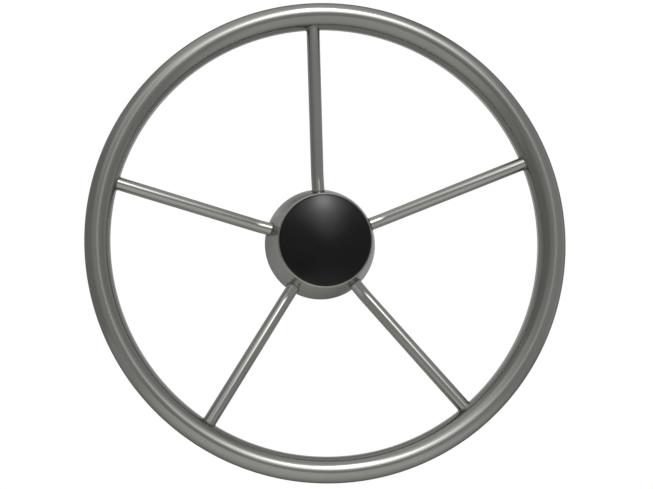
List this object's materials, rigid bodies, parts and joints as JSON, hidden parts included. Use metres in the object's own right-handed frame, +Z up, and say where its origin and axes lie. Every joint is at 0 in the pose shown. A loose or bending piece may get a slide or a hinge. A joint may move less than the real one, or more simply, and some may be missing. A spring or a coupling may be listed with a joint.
{
  "type": "boat steering wheel",
  "caption": "Dished stainless boat steering wheel: tubular rim, bent bar spokes, conical hub with a domed black centre cap, for a tapered helm shaft.",
  "frame": {"origin": "on the wheel's axis, in the back face of the shaft boss, where the helm shaft enters", "axes": "+Y along the axis, away from the driver, the way the shaft leaves; +Z up along the first spoke; +X to the driver's right"},
  "size_m": [0.394, 0.0523, 0.394],
  "materials": {
    "rim_steel": "satin-polished stainless tube",
    "spoke_steel": "satin-polished stainless bar",
    "hub_steel": "fine satin pressed stainless",
    "turned_steel": "turned stainless",
    "weld_steel": "polished weld bead",
    "cap_plastic": "semi-gloss black moulding"
  },
  "bodies": {
    "root": {"rim_tube": "rim_steel", "hub_shell": "hub_steel", "back_plate": "hub_steel", "plate_weld": "weld_steel", "shaft_boss": "turned_steel", "boss_weld": "weld_steel", "centre_cap": "cap_plastic", "spoke_1": "spoke_steel", "rim_weld_1": "weld_steel", "hub_weld_1": "weld_steel", "spoke_2": "spoke_steel", "rim_weld_2": "weld_steel", "hub_weld_2": "weld_steel", "spoke_3": "spoke_steel", "rim_weld_3": "weld_steel", "hub_weld_3": "weld_steel", "spoke_4": "spoke_steel", "rim_weld_4": "weld_steel", "hub_weld_4": "weld_steel", "spoke_5": "spoke_steel", "rim_weld_5": "weld_steel", "hub_weld_5": "weld_steel"}
  },
  "joints": []
}
